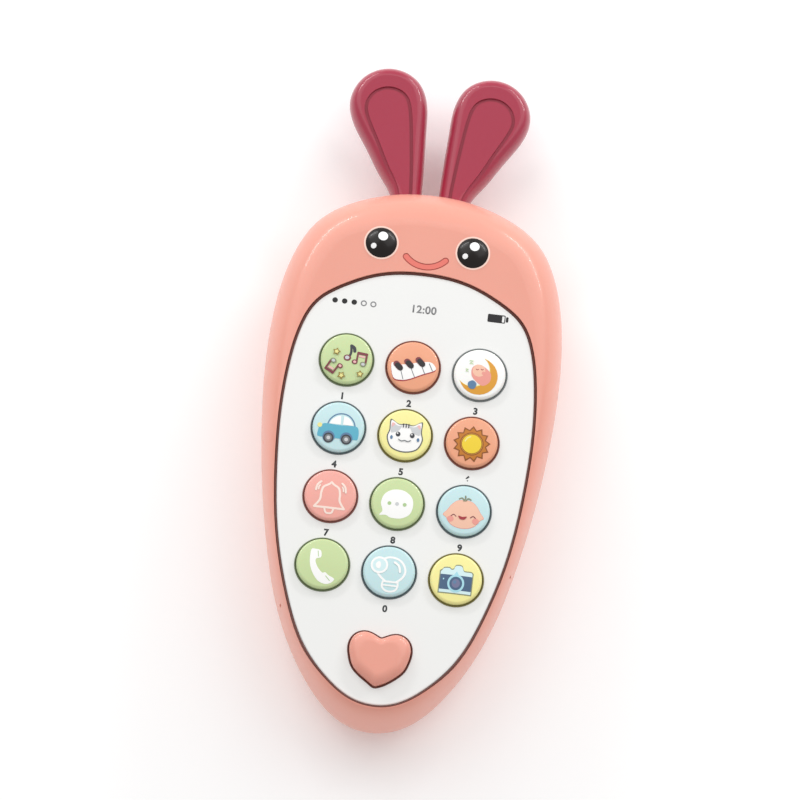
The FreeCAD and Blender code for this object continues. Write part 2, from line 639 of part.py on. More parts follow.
def contact_plates():
    """Flat contacts against both end walls of the bay."""
    plates = []
    for x in cell_x:
        for y in (BAY_START, bay_end - PLATE_THICKNESS):
            plates.append(block(x - 4.2, x + 4.2, y, y + PLATE_THICKNESS, cell_bottom + 1, bay_ceiling - 0.2))
    return Part.makeCompound(plates)


def battery_cover():
    """Flush plate over the bay: two tabs at one edge, one screw at the other, ribs for the thumb."""
    plate = rounded_block(-cover_half, cover_half, cover_foot, cover_edge, COVER_INSET, cover_top, COVER_CORNER)
    tab_bottom = max(cover_top, WALL) + 0.1
    tabs = []
    for x in (-cover_half * 0.55, cover_half * 0.55):
        root = block(x - TAB_WIDTH / 2, x + TAB_WIDTH / 2, cover_edge - 1.2, cover_edge,
                     cover_top - 0.2, tab_bottom + TAB_THICKNESS)
        tip = block(x - TAB_WIDTH / 2, x + TAB_WIDTH / 2, cover_edge - 1.2, cover_edge + TAB_REACH,
                    tab_bottom, tab_bottom + TAB_THICKNESS)
        tabs += [root, tip]
    cutters = [cylinder(0, cover_screw_y, COVER_SCREW_RADIUS + 0.05, -1, cover_top + 1),
               cylinder(0, cover_screw_y, COVER_SCREW_HEAD + 0.15, -1, COVER_INSET + 0.9)]
    for i in range(4):
        y = cover_foot + 15 + 2.2 * i
        cutters.append(block(-7, 7, y, y + 0.9, -1, COVER_INSET + 0.4))
    return fused([plate] + tabs).cut(cutters)


def cover_screw():
    z = COVER_INSET + 0.1
    return screw(0, cover_screw_y, z, cover_top + COVER_SCREW_REACH, COVER_SCREW_RADIUS, COVER_SCREW_HEAD, 0.8)


# ---- speaker, switch and wires -----------------------------------------------------------------------
def speaker_frame():
    """A pressed basket with a round rim."""
    z0, z1 = WALL, WALL + SPEAKER_HEIGHT
    r = SPEAKER_RADIUS
    return turned([(r - 1.6, z0), (r, z0), (r, z0 + 1.0), (r - 0.8, z0 + 1.4), (7.2, z1 - 2.2), (7.2, z1),
                   (6.2, z1), (6.2, z1 - 3.0), (r - 1.6, z0 + 0.8)], 0, speaker_y)


def speaker_cone():
    """A thin film cone with a dust cap."""
    z0 = WALL
    r = SPEAKER_RADIUS - 1.7
    return turned([(0, z0 + 1.9), (2.6, z0 + 1.9), (3.4, z0 + 1.6), (r, z0 + 0.2), (r, z0 + 0.6),
                   (4.4, z0 + 2.2), (0, z0 + 2.3)], 0, speaker_y)


def speaker_magnet():
    z1 = WALL + SPEAKER_HEIGHT
    return turned([(0, z1 - 2.5), (6.1, z1 - 2.5), (6.1, z1 + 0.6), (0, z1 + 0.6)], 0, speaker_y)


def switch_body():
    """The slide switch's steel case, with a pocket for the knob."""
    z0 = WALL
    return block(-SWITCH_LENGTH / 2, SWITCH_LENGTH / 2, switch_y - SWITCH_WIDTH / 2, switch_y + SWITCH_WIDTH / 2,
                 z0, z0 + SWITCH_HEIGHT).cut(
        block(-(SWITCH_TRAVEL + KNOB_LENGTH) / 2 - 0.2, (SWITCH_TRAVEL + KNOB_LENGTH) / 2 + 0.2,
              switch_y - KNOB_WIDTH / 2 - 0.2, switch_y + KNOB_WIDTH / 2 + 0.2, z0 - 1, z0 + 1.5))


def switch_knob():
    """The slider, shown at its off end, with three grip ribs."""
    x0 = -(SWITCH_TRAVEL + KNOB_LENGTH) / 2
    z0 = 0.5
    knob = block(x0, x0 + KNOB_LENGTH, switch_y - KNOB_WIDTH / 2, switch_y + KNOB_WIDTH / 2, z0, WALL + 1.3)
    notches = [block(x0 + 0.5 + i * 0.9, x0 + 0.9 + i * 0.9, switch_y - 2, switch_y + 2, 0, z0 + 0.35)
               for i in range(3)]
    return knob.cut(notches)


def wires(places, z0):
    """Short straight leads up to the board."""
    return Part.makeCompound([cylinder(x, y, WIRE_RADIUS, z0, board_bottom) for x, y in places])


def sound_chip():
    """The black blob of resin over the sound chip, under the board."""
    y = speaker_y - SPEAKER_RADIUS - 3.0
    return turned([(0, board_bottom - 1.4), (2.5, board_bottom - 1.2), (4.5, board_bottom - 0.5),
                   (5.0, board_bottom), (0, board_bottom)], 14.0, y)


def board_parts():
    """Small surface-mounted parts round the sound chip."""
    y = speaker_y - SPEAKER_RADIUS - 3.0
    spots = [(22.0, y - 3), (22.0, y), (22.0, y + 3), (5.5, y + 2), (5.5, y - 2)]
    return Part.makeCompound([block(x - 1, x + 1, sy - 0.6, sy + 0.6, board_bottom - 0.8, board_bottom)
                              for x, sy in spots])


# ---- the pieces --------------------------------------------------------------------------------------
pieces = {
    "front_shell": front_shell(),
    "rear_shell": rear_shell(),
    "keypad_panel": panel(),
    "ear_left": ear_left,
    "ear_right": ear_right,
    "eye_left": eye(-EYE_X),
    "eye_right": eye(EYE_X),
    "heart_key": heart_key(),
    "keypad_mat": keypad_mat(),
    "circuit_board": circuit_board(),
    "sound_chip": sound_chip(),
    "board_parts": board_parts(),
    "speaker_frame": speaker_frame(),
    "speaker_cone": speaker_cone(),
    "speaker_magnet": speaker_magnet(),
    "switch_body": switch_body(),
    "switch_knob": switch_knob(),
    "battery_springs": springs(),
    "battery_plates": contact_plates(),
    "battery_cover": battery_cover(),
    "battery_cover_screw": cover_screw(),
    "speaker_wires": wires([(-2.0, speaker_y + 3.5), (2.0, speaker_y + 3.5)], WALL + SPEAKER_HEIGHT + 0.6),
    "battery_wires": wires([(-13.5, bay_end + 0.7), (13.5, bay_end + 0.7)], bay_ceiling + BAY_WALL),
    "case_screws": Part.makeCompound([screw(x, y, 2.0, board_top + 2.0, SCREW_RADIUS, SCREW_HEAD_RADIUS,
                                            SCREW_HEAD_HEIGHT) for x, y in case_screw_places]),
    "board_screws": Part.makeCompound([screw(x, y, board_bottom - 1.2, panel_bottom - 0.8, SCREW_RADIUS - 0.25,
                                             SCREW_HEAD_RADIUS - 0.3, 1.2) for x, y in post_places]),
}
for name, (key_x, key_y) in key_places.items():
    pieces[name] = key(key_x, key_y)
for number, x in enumerate(cell_x, 1):
    pieces["battery_cell_%d" % number] = cell(x, number % 2 == 0)

middle_y = (CASE_SHAPE[0][1] * CASE_LENGTH + CASE_LENGTH + EAR_REACH) / 2
os.makedirs("parts", exist_ok=True)
for name, shape in pieces.items():
    shape.translate(Vector(0, -middle_y, 0))
    shape.exportStep("parts/%s.step" % name)
    print("%-20s valid %s  solids %d  volume %9.1f" % (name, shape.isValid(), len(shape.Solids), shape.Volume))
print("keys: radius %.2f column %.2f rows %s" % (key_radius, key_column, [round(y - middle_y, 2) for y in key_rows]))
print("heart y %.2f  cover edge y %.2f  cover screw y %.2f  switch y %.2f  speaker y %.2f"
      % (heart_y - middle_y, cover_edge - middle_y, cover_screw_y - middle_y, switch_y - middle_y,
         speaker_y - middle_y))
print("case top %.2f  split %.2f  board top %.2f" % (case_top, split, board_top))
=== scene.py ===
"""Looks for a carrot-shaped toy phone: coral casing, soft ears, white face plate and printed picture keys."""
import math

import bmesh
import bpy
from mathutils import Matrix, Vector


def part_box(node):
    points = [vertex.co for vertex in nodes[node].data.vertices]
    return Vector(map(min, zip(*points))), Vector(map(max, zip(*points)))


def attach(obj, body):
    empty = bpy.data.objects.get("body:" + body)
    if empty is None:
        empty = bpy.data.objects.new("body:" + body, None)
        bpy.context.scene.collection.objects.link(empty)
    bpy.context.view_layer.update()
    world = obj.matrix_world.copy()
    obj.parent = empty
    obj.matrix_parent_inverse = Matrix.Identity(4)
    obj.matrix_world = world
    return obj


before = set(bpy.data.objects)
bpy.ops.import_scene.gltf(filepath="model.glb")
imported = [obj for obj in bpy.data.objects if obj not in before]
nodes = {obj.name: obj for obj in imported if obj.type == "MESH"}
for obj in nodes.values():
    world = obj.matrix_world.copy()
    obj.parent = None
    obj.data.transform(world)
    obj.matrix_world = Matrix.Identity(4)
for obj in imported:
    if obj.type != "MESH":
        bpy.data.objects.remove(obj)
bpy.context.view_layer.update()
MM = 0.001

# ---- studio --------------------------------------------------------------------------------------------
# A pale, faintly backlit sheet just under the phone, two wide soft lights from beyond the ears, and a narrow
# bright one low on each side for the glints on the shoulders and ears. The camera is far off, with a long lens.
FLOOR_SIZE = 6.0
FLOOR_DROP = 0.05 * MM
FLOOR_GLOW = 0.1
WINDOW_SIZE, WINDOW_WATTS = (1.2, 1.0), 3.7
GLINT_SIZE, GLINT_WATTS = (0.6, 0.07), 2.5
ROOM_LIGHT = 0.59
CAMERA_TURN = math.radians(6.42)
CAMERA_RISE = math.radians(73.3)
CAMERA_LENS = 600.0
CAMERA_SENSOR = 36.0
VIEW_WIDTH = 208.7 * MM
CAMERA_LEAN = 0.031
AIM_RIGHT = -2.03 * MM
AIM_UP = 3.9 * MM


def paint(red, green, blue):
    """A screen colour, 0 to 255, as the linear colour that the shaders take."""
    return tuple(((c / 255 + 0.055) / 1.055) ** 2.4 if c > 10 else c / 255 / 12.92
                 for c in (red, green, blue))


def plain_shader(name, colour, roughness):
    material = bpy.data.materials.new(name)
    material.use_nodes = True
    shader = material.node_tree.nodes["Principled BSDF"]
    shader.inputs["Base Color"].default_value = (*colour, 1)
    shader.inputs["Roughness"].default_value = roughness
    return material, shader


def finished(bm, name, material):
    """A bmesh made into an object in the scene."""
    mesh = bpy.data.meshes.new(name)
    bm.to_mesh(mesh)
    bm.free()
    piece = bpy.data.objects.new(name, mesh)
    bpy.context.scene.collection.objects.link(piece)
    for one in material if isinstance(material, list) else [material]:
        mesh.materials.append(one)
    return piece


bm = bmesh.new()
bmesh.ops.create_grid(bm, x_segments=1, y_segments=1, size=FLOOR_SIZE / 2)
bmesh.ops.translate(bm, verts=bm.verts, vec=(0, 0, -FLOOR_DROP))
floor_paper, shader = plain_shader("floor_paper", (0.97, 0.97, 0.97), 0.9)
shader.inputs["Emission Color"].default_value = (1, 1, 1, 1)
shader.inputs["Emission Strength"].default_value = FLOOR_GLOW
floor = finished(bm, "floor", floor_paper)


def soft_light(name, size, spot, aim, watts):
    light = bpy.data.lights.new(name, "AREA")
    light.shape = "RECTANGLE"
    light.size, light.size_y = size
    light.energy = watts
    lamp = bpy.data.objects.new(name, light)
    lamp.location = spot
    lamp.rotation_euler = (Vector(aim) - Vector(spot)).to_track_quat("-Z", "Y").to_euler()
    bpy.context.scene.collection.objects.link(lamp)


soft_light("left_window", WINDOW_SIZE, (-0.6, 0.6, 1.0), (0, 0, 0), WINDOW_WATTS)
soft_light("right_window", WINDOW_SIZE, (0.6, 0.6, 1.0), (0, 0, 0), WINDOW_WATTS)
soft_light("left_glint", GLINT_SIZE, (-0.55, 0.75, 0.38), (0, 0.03, 0), GLINT_WATTS)
soft_light("right_glint", GLINT_SIZE, (0.55, 0.75, 0.38), (0, 0.03, 0), GLINT_WATTS)

world = bpy.data.worlds.new("room")
world.use_nodes = True
world.node_tree.nodes["Background"].inputs["Color"].default_value = (1, 1, 1, 1)
world.node_tree.nodes["Background"].inputs["Strength"].default_value = ROOM_LIGHT
bpy.context.scene.world = world
bpy.context.scene.view_settings.view_transform = "Standard"

turn, rise = CAMERA_TURN, CAMERA_RISE
right = Vector((math.cos(turn), math.sin(turn), CAMERA_LEAN)).normalized()
up = Vector((-math.sin(turn) * math.sin(rise), math.cos(turn) * math.sin(rise), math.cos(rise)))
up = (up - right * up.dot(right)).normalized()
back = right.cross(up)
camera = bpy.data.objects.new("camera", bpy.data.cameras.new("camera"))
camera.data.lens = CAMERA_LENS
camera.data.sensor_width = CAMERA_SENSOR
camera.data.clip_end = 20.0
distance = CAMERA_LENS * VIEW_WIDTH / CAMERA_SENSOR
camera.matrix_world = Matrix((right, up, back)).transposed().to_4x4()
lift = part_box("keypad_panel")[1].z * math.sin(rise)
camera.location = right * AIM_RIGHT + up * AIM_UP + back * (distance + lift)
bpy.context.scene.collection.objects.link(camera)
bpy.context.scene.camera = camera

# ---- casing --------------------------------------------------------------------------------------------
# Two injection-moulded ABS shells in coral, with the same colour on the battery cover and the heart key.
# The plastic is even and satin-glossy, with a trace of flow in its colour and a very fine skin.
CORAL = paint(237, 163, 145)
CORAL_ROUGHNESS = 0.32


def moulded(name, colour, roughness, coat=0.25, flow=0.03, skin=0.015, soft=0.0, shine=0.5):
    """Moulded plastic or rubber: slight uneven colour and gloss, and a fine skin in the bump."""
    material, shader = plain_shader(name, colour, roughness)
    tree = material.node_tree
    place = tree.nodes.new("ShaderNodeTexCoord")
    cloud = tree.nodes.new("ShaderNodeTexNoise")
    cloud.inputs["Scale"].default_value = 55.0
    cloud.inputs["Detail"].default_value = 3.0
    tint = tree.nodes.new("ShaderNodeMix")
    tint.data_type = "RGBA"
    tint.inputs["A"].default_value = (*[c * (1 - flow) for c in colour], 1)
    tint.inputs["B"].default_value = (*[min(c * (1 + flow), 1.0) for c in colour], 1)
    gloss = tree.nodes.new("ShaderNodeMapRange")
    gloss.inputs["To Min"].default_value = roughness * 0.9
    gloss.inputs["To Max"].default_value = roughness * 1.12
    grain = tree.nodes.new("ShaderNodeTexNoise")
    grain.inputs["Scale"].default_value = 2200.0
    bump = tree.nodes.new("ShaderNodeBump")
    bump.inputs["Strength"].default_value = skin
    bump.inputs["Distance"].default_value = 0.0002
    link = tree.links.new
    link(place.outputs["Object"], cloud.inputs["Vector"])
    link(place.outputs["Object"], grain.inputs["Vector"])
    link(cloud.outputs["Fac"], tint.inputs["Factor"])
    link(tint.outputs["Result"], shader.inputs["Base Color"])
    link(cloud.outputs["Fac"], gloss.inputs["Value"])
    link(gloss.outputs["Result"], shader.inputs["Roughness"])
    link(grain.outputs["Fac"], bump.inputs["Height"])
    link(bump.outputs["Normal"], shader.inputs["Normal"])
    shader.inputs["Specular IOR Level"].default_value = shine
    shader.inputs["Coat Weight"].default_value = coat
    shader.inputs["Coat Roughness"].default_value = 0.08
    shader.inputs["Subsurface Weight"].default_value = soft
    shader.inputs["Subsurface Scale"].default_value = 0.002
    return material


def dress(material, *names):
    for name in names:
        nodes[name].data.materials.clear()
        nodes[name].data.materials.append(material)


coral = moulded("coral_abs", CORAL, CORAL_ROUGHNESS, coat=0.2, soft=0.03, shine=0.35)
dress(coral, "front_shell", "rear_shell", "battery_cover", "heart_key")

# ---- face plate ----------------------------------------------------------------------------------------
# A white ABS plate let into the front shell. The joint round it, and the one round the heart, holds a thin dark
# brown cord: painted shade standing in for the shadow down in the gap.
GAP_SHADE_RADIUS = 0.28 * MM
GAP_SHADE_SPREAD = 0.35 * MM
GAP_SHADE_SINK = 0.28 * MM
HEART_GAP_SHADE_RADIUS = 0.18 * MM
HEART_GAP_SHADE_SPREAD = 0.12 * MM
HEART_GAP_SHADE_SINK = 0.02 * MM
GAP_SHADE_BROWN = paint(104, 56, 47)
panel_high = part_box("keypad_panel")[1]
panel_top = panel_high.z

white = moulded("white_abs", paint(241, 241, 239), 0.35, coat=0.15, flow=0.008)
dress(white, "keypad_panel")


def cuts_of(node, height):
    """The closed loops in which a level plane cuts a CAD node, as lists of flat points, longest first."""
    bm = bmesh.new()
    bm.from_mesh(nodes[node].data)
    bmesh.ops.remove_doubles(bm, verts=bm.verts, dist=0.002 * MM)
    bmesh.ops.bisect_plane(bm, geom=bm.verts[:] + bm.edges[:] + bm.faces[:], plane_co=(0, 0, height),
                           plane_no=(0, 0, 1), clear_inner=True, clear_outer=True)
    bmesh.ops.remove_doubles(bm, verts=bm.verts, dist=0.005 * MM)
    loops, seen = [], set()
    for start in bm.verts:
        if start in seen or len(start.link_edges) != 2:
            continue
        loop, here, edge = [], start, start.link_edges[0]
        while here not in seen and len(here.link_edges) == 2:
            seen.add(here)
            loop.append(Vector((here.co.x, here.co.y)))
            here = edge.other_vert(here)
            edge = next((e for e in here.link_edges if e is not edge), edge)
        loops.append(loop)
    bm.free()
    return sorted(loops, key=lambda points: -sum((a - b).length for a, b in zip(points, points[1:])))


def middle_of(points):
    return Vector(((min(p.x for p in points) + max(p.x for p in points)) / 2,
                   (min(p.y for p in points) + max(p.y for p in points)) / 2))


def grown(points, distance):
    """A closed outline moved outwards."""
    turns = sum(a.x * b.y - a.y * b.x for a, b in zip(points, points[1:] + points[:1]))
    side = 1 if turns > 0 else -1
    moved = []
    for i, point in enumerate(points):
        along = points[(i + 1) % len(points)] - points[i - 1]
        out = Vector((along.y, -along.x)).normalized() * side
        moved.append(point + out * distance)
    return moved


def cord_mesh(points, height, radius):
    """A closed round cord along flat points."""
    curve = bpy.data.curves.new("cord", "CURVE")
    curve.dimensions = "3D"
    curve.bevel_depth = radius
    curve.bevel_resolution = 3
    spline = curve.splines.new("POLY")
    spline.points.add(len(points) - 1)
    for target, point in zip(spline.points, points):
        target.co = (point.x, point.y, height, 1)
    spline.use_cyclic_u = True
    spline.use_smooth = True
    holder = bpy.data.objects.new("cord", curve)
    mesh = bpy.data.meshes.new_from_object(holder)
    bpy.data.objects.remove(holder)
    return mesh


def cord_piece(name, points, height, radius, material):
    piece = bpy.data.objects.new(name, cord_mesh(points, height, radius))
    bpy.context.scene.collection.objects.link(piece)
    piece.data.materials.append(material)
    for face in piece.data.polygons:
        face.use_smooth = True
    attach(piece, "casing")
    return piece


# The dark brown cords are painted shade: they stand in for the shadow in the gaps round the plate and round the
# heart key.
panel_loops = cuts_of("keypad_panel", panel_top - 1.0 * MM)
gap_shade_brown = moulded("gap_shade_brown", GAP_SHADE_BROWN, 0.5, coat=0.0)
cord_piece("panel_gap_shade", grown(panel_loops[0], GAP_SHADE_SPREAD), panel_top - GAP_SHADE_SINK, GAP_SHADE_RADIUS, gap_shade_brown)
heart_low, heart_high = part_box("heart_key")
heart_middle = Vector(((heart_low.x + heart_high.x) / 2, (heart_low.y + heart_high.y) / 2))
heart_hole = min(panel_loops[1:], key=lambda points: (middle_of(points) - heart_middle).length)
cord_piece("heart_gap_shade", grown(heart_hole, HEART_GAP_SHADE_SPREAD), panel_top - HEART_GAP_SHADE_SINK, HEART_GAP_SHADE_RADIUS,
           gap_shade_brown)

# ---- printing on the face plate --------------------------------------------------------------------------
# Pad-printed in dark grey: a digit under each number key, a row of signal dots, a clock and a battery sign.
# The ink stands a few hundredths of a millimetre proud of the plate.
INK_HEIGHT = 0.03 * MM
DIGIT_DROP = 9.95 * MM
DIGIT_SIZE = 2.45 * MM
DIGIT_FAT = 0.105 * MM
CLOCK_SIZE = 2.9 * MM
CLOCK_FAT = 0.06 * MM
STATUS_DROP = 9.36 * MM
ink_dark = moulded("ink_dark", paint(52, 56, 58), 0.5, coat=0.0)
ink_grey = moulded("ink_grey", paint(128, 128, 130), 0.5, coat=0.0)
ink_black = moulded("ink_black", paint(22, 20, 22), 0.5, coat=0.0)


def printed(mesh, name, material, body):
    """A flat mesh given the thickness of ink."""
    piece = bpy.data.objects.new(name, mesh)
    bpy.context.scene.collection.objects.link(piece)
    for one in material if isinstance(material, list) else [material]:
        piece.data.materials.append(one)
    ink = piece.modifiers.new("ink", "SOLIDIFY")
    ink.thickness = INK_HEIGHT * 1.5
    ink.offset = -1
    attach(piece, body)
    return piece


def lettering(words, size, place, height, fat=0.0, spacing=1.0):
    """Plain printed characters, centred on a place."""
    text = bpy.data.curves.new("text", "FONT")
    text.body = words
    text.size = size
    text.align_x = "CENTER"
    text.align_y = "CENTER"
    text.offset = fat
    text.space_character = spacing
    holder = bpy.data.objects.new("text", text)
    bpy.context.scene.collection.objects.link(holder)
    bpy.context.view_layer.update()
    mesh = bpy.data.meshes.new_from_object(holder.evaluated_get(bpy.context.evaluated_depsgraph_get()))
    bpy.data.objects.remove(holder)
    mesh.transform(Matrix.Translation((place[0], place[1], height)))
    return mesh


def middle(node):
    low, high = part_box(node)
    return Vector(((low.x + high.x) / 2, (low.y + high.y) / 2))


for digit in "1234567890":
    spot = middle("key_" + digit) - Vector((0, DIGIT_DROP))
    printed(lettering(digit, DIGIT_SIZE, spot, panel_top + INK_HEIGHT, fat=DIGIT_FAT), "digit_" + digit,
            ink_dark, "casing")


def round_outline(x, y, radius, sides=24, wide=1.0, lean=0.0):
    """Points round a circle or an oval, in the script's own unit."""
    points = []
    for i in range(sides):
        angle = 2 * math.pi * i / sides
        px, py = radius * wide * math.cos(angle), radius * math.sin(angle)
        points.append((x + px * math.cos(lean) - py * math.sin(lean),
                       y + px * math.sin(lean) + py * math.cos(lean)))
    return points


def flat_mesh(outlines, scale=MM, place=(0, 0), height=0.0):
    """A flat filled shape: outlines inside another one are holes in it."""
    curve = bpy.data.curves.new("shape", "CURVE")
    curve.dimensions = "2D"
    curve.fill_mode = "BOTH"
    for outline in outlines:
        spline = curve.splines.new("POLY")
        spline.points.add(len(outline) - 1)
        for target, (x, y) in zip(spline.points, outline):
            target.co = (x * scale, y * scale, 0, 1)
        spline.use_cyclic_u = True
    holder = bpy.data.objects.new("shape", curve)
    mesh = bpy.data.meshes.new_from_object(holder)
    bpy.data.objects.remove(holder)
    mesh.transform(Matrix.Translation((place[0], place[1], height)))
    return mesh


status_y = panel_high.y - STATUS_DROP
for number in range(5):
    full = number < 3
    outlines = [round_outline(0, 0, 0.72 if full else 0.8)] + ([] if full else [round_outline(0, 0, 0.5)])
    spot = (-22.3 * MM + number * 2.52 * MM, status_y)
    printed(flat_mesh(outlines, place=spot, height=panel_top + INK_HEIGHT), "signal_dot_%d" % (number + 1),
            ink_black if full else ink_grey, "casing")
printed(lettering("12:00", CLOCK_SIZE, (1.0 * MM, status_y), panel_top + INK_HEIGHT, fat=CLOCK_FAT,
                  spacing=1.06), "clock", ink_grey, "casing")


def bar_outline(x0, x1, y0, y1, corner=0.3, steps=4):
    """A rectangle with rounded corners."""
    points = []
    for cx, cy, start in ((x1 - corner, y1 - corner, 0), (x0 + corner, y1 - corner, 90),
                          (x0 + corner, y0 + corner, 180), (x1 - corner, y0 + corner, 270)):
        for i in range(steps + 1):
            angle = math.radians(start + 90 * i / steps)
            points.append((cx + corner * math.cos(angle), cy + corner * math.sin(angle)))
    return points


battery_sign = [bar_outline(-2.75, 1.9, -1.1, 1.1), bar_outline(1.05, 1.65, -0.85, 0.85, 0.12),
                bar_outline(2.05, 2.7, -0.75, 0.75, 0.3)]
printed(flat_mesh(battery_sign, place=(20.6 * MM, status_y), height=panel_top + INK_HEIGHT), "battery_sign",
        ink_black, "casing")

# ---- eyes and mouth --------------------------------------------------------------------------------------
# The eyes are polished black domes with two white dots printed on each. The mouth is a shallow channel in the
# forehead, filled nearly flush with red paint; the darker red rim round the paint is painted shade at the
# channel's edge.
EYE_RISE = 1.5
EYE_DOTS = [(0.3, 1.5, 1.28), (-1.9, -1.37, 0.72)]
MOUTH_DEPTH = 0.35 * MM
MOUTH_WIDTH = 12.2 * MM
HALO_WIDTH = 0.4
dress(moulded("polished_black", paint(24, 18, 16), 0.3, coat=0.1, flow=0.02, skin=0.004, shine=0.3),
      "eye_left", "eye_right")
halo_pale = moulded("halo_pale", paint(255, 218, 204), 0.4, coat=0.2, flow=0.0)
eye_white = moulded("eye_white", paint(255, 255, 255), 0.4, coat=0.2, flow=0.0)


def lay_on_dome(bm, radius, rise, top, lift):
    """Cuts flat faces into small ones, and sets them down on a round dome about the origin."""
    step = 0.8 * MM
    count = int(radius / step) + 1
    for axis in (Vector((1, 0, 0)), Vector((0, 1, 0))):
        for i in range(-count, count + 1):
            bmesh.ops.bisect_plane(bm, geom=bm.verts[:] + bm.edges[:] + bm.faces[:], plane_co=axis * step * i,
                                   plane_no=axis)
    sphere = (radius ** 2 + rise ** 2) / (2 * rise)
    for vert in bm.verts:
        out = min(vert.co.xy.length, radius)
        vert.co.z = top - (sphere - math.sqrt(sphere ** 2 - out ** 2)) + lift


case_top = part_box("front_shell")[1].z
for side in ("left", "right"):
    low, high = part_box("eye_" + side)
    spot = middle("eye_" + side)
    bm = bmesh.new()
    for x, y, size in EYE_DOTS:
        bm.from_mesh(flat_mesh([round_outline(x, y, size)]))
    lay_on_dome(bm, (high.x - low.x) / 2, EYE_RISE * MM, high.z, INK_HEIGHT)
    bmesh.ops.translate(bm, verts=bm.verts, vec=(spot.x, spot.y, 0))
    mesh = bpy.data.meshes.new("eye_dots")
    bm.to_mesh(mesh)
    bm.free()
    printed(mesh, "eye_dots_" + side, eye_white, "casing")
    eye_radius = (high.x - low.x) / 2 / MM
    halo = [round_outline(0, 0, eye_radius + HALO_WIDTH, 48), round_outline(0, 0, eye_radius - 0.05, 48)]
    printed(flat_mesh(halo, place=spot, height=case_top + INK_HEIGHT), "eye_halo_" + side, halo_pale,
            "casing")

mouth = min(cuts_of("front_shell", case_top - MOUTH_DEPTH / 2),
            key=lambda points: abs(max(p.x for p in points) - min(p.x for p in points) - MOUTH_WIDTH)
            + abs(middle_of(points).x))
# The darker red sheet under the whole mouth is painted shade at the channel's edge; the lighter one inset over
# it is the red paint.
for name, inset, depth, colour in (("mouth_edge_shade", 0.0, 0.5, (190, 88, 78)),
                                   ("mouth_paint", 0.28, 0.1, (232, 118, 105))):
    outline = [(p.x / MM, p.y / MM) for p in grown(mouth, -inset * MM)]
    printed(flat_mesh([outline], height=case_top - MOUTH_DEPTH * depth + INK_HEIGHT), name,
            moulded(name + "_red", paint(*colour), 0.4, coat=0.2), "casing")

# ---- ears ------------------------------------------------------------------------------------------------
# Solid raspberry silicone, soft enough to bend, with a faint bloom and a soft shine along the rolled edge.
ear_skin = moulded("ear_silicone", paint(167, 45, 70), 0.36, coat=0.6, flow=0.03, skin=0.02, soft=0.05,
                   shine=0.35)
dress(ear_skin, "ear_left", "ear_right")
GROOVE_DEPTH = 0.6 * MM
# The darker raspberry sheet on each ear's groove floor is painted shade in the groove.
groove_shade = moulded("groove_raspberry", paint(138, 38, 60), 0.5, coat=0.0)
for side in ("left", "right"):
    floor_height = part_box("ear_" + side)[1].z - GROOVE_DEPTH
    loops = cuts_of("ear_" + side, floor_height + GROOVE_DEPTH / 2)[1:3]
    outlines = [[(p.x / MM, p.y / MM) for p in loop] for loop in loops]
    printed(flat_mesh(outlines, height=floor_height + INK_HEIGHT), "ear_groove_" + side, groove_shade,
            "casing")

# ---- key caps --------------------------------------------------------------------------------------------
# Twelve ABS caps in six pale colours. Each has a darker band round its side, painted shade for the cap's side
# in shadow, and a thin dark ring in its hole in the plate, painted shade for the gap round the cap, tinted
# after the cap's colour.
RING_RADIUS = 7.14
RING_THICKNESS = 0.19
RING_LIFT = 0.02 * MM
BAND_HEIGHT = 0.4
BAND_DEPTH = 1.2 * MM
BAND_CLEARANCE = 0.06
BAND_WALL = 0.08 * MM
CAP_RADIUS = 6.75
# Each colour pairs the cap's face with the darker tone of its ring, which is painted shade for the gap.
KEY_COLOURS = {"green": ((203, 221, 163), (112, 124, 92)), "orange": ((240, 166, 130), (132, 78, 66)),
               "white": ((252, 251, 248), (122, 128, 128)), "blue": ((199, 230, 233), (92, 104, 108)),
               "yellow": ((248, 240, 158), (122, 114, 58)), "pink": ((244, 172, 160), (132, 80, 72))}
KEY_TINTS = {"key_1": "green", "key_2": "orange", "key_3": "white", "key_4": "blue", "key_5": "yellow",
             "key_6": "orange", "key_7": "pink", "key_8": "green", "key_9": "blue", "key_call": "green",
             "key_0": "blue", "key_camera": "yellow"}
cap_plastic, rim_shade, band_shade = {}, {}, {}
for colour, (face, rim) in KEY_COLOURS.items():
    cap_plastic[colour] = moulded(colour + "_abs", paint(*face), 0.34, coat=0.3, flow=0.015, soft=0.04)
    rim_shade[colour] = moulded(colour + "_rim_shade", paint(*rim), 0.5, coat=0.0)
    # The band takes a tone halfway between face and ring: painted shade for the cap's side.
    between = [(a + b) / 2 for a, b in zip(face, rim)]
    band_shade[colour] = moulded(colour + "_band_shade", paint(*between), 0.5, coat=0.0)


def torus(bm, radius, thickness, height, spot):
    """A ring spun from a small circle."""
    stood = Matrix.Translation((radius * MM, 0, 0)) @ Matrix.Rotation(math.pi / 2, 4, "X")
    bmesh.ops.create_circle(bm, segments=10, radius=thickness * MM, matrix=stood)
    bmesh.ops.spin(bm, geom=bm.edges[:], cent=(0, 0, 0), axis=(0, 0, 1), angle=2 * math.pi, steps=72,
                   use_merge=True)
    bmesh.ops.remove_doubles(bm, verts=bm.verts, dist=0.001 * MM)
    bmesh.ops.recalc_face_normals(bm, faces=bm.faces)
    bmesh.ops.translate(bm, verts=bm.verts, vec=(spot.x, spot.y, height))
    for one in bm.faces:
        one.smooth = True


def band(bm, radius, low, high, spot):
    """A thin open band round an upright cylinder."""
    bmesh.ops.create_circle(bm, segments=72, radius=radius * MM)
    bmesh.ops.translate(bm, verts=bm.verts, vec=(spot.x, spot.y, low))
    raised = bmesh.ops.extrude_edge_only(bm, edges=bm.edges[:])
    bmesh.ops.translate(bm, verts=[v for v in raised["geom"] if isinstance(v, bmesh.types.BMVert)],
                        vec=(0, 0, high - low))
    bmesh.ops.recalc_face_normals(bm, faces=bm.faces)
    for one in bm.faces:
        one.smooth = True


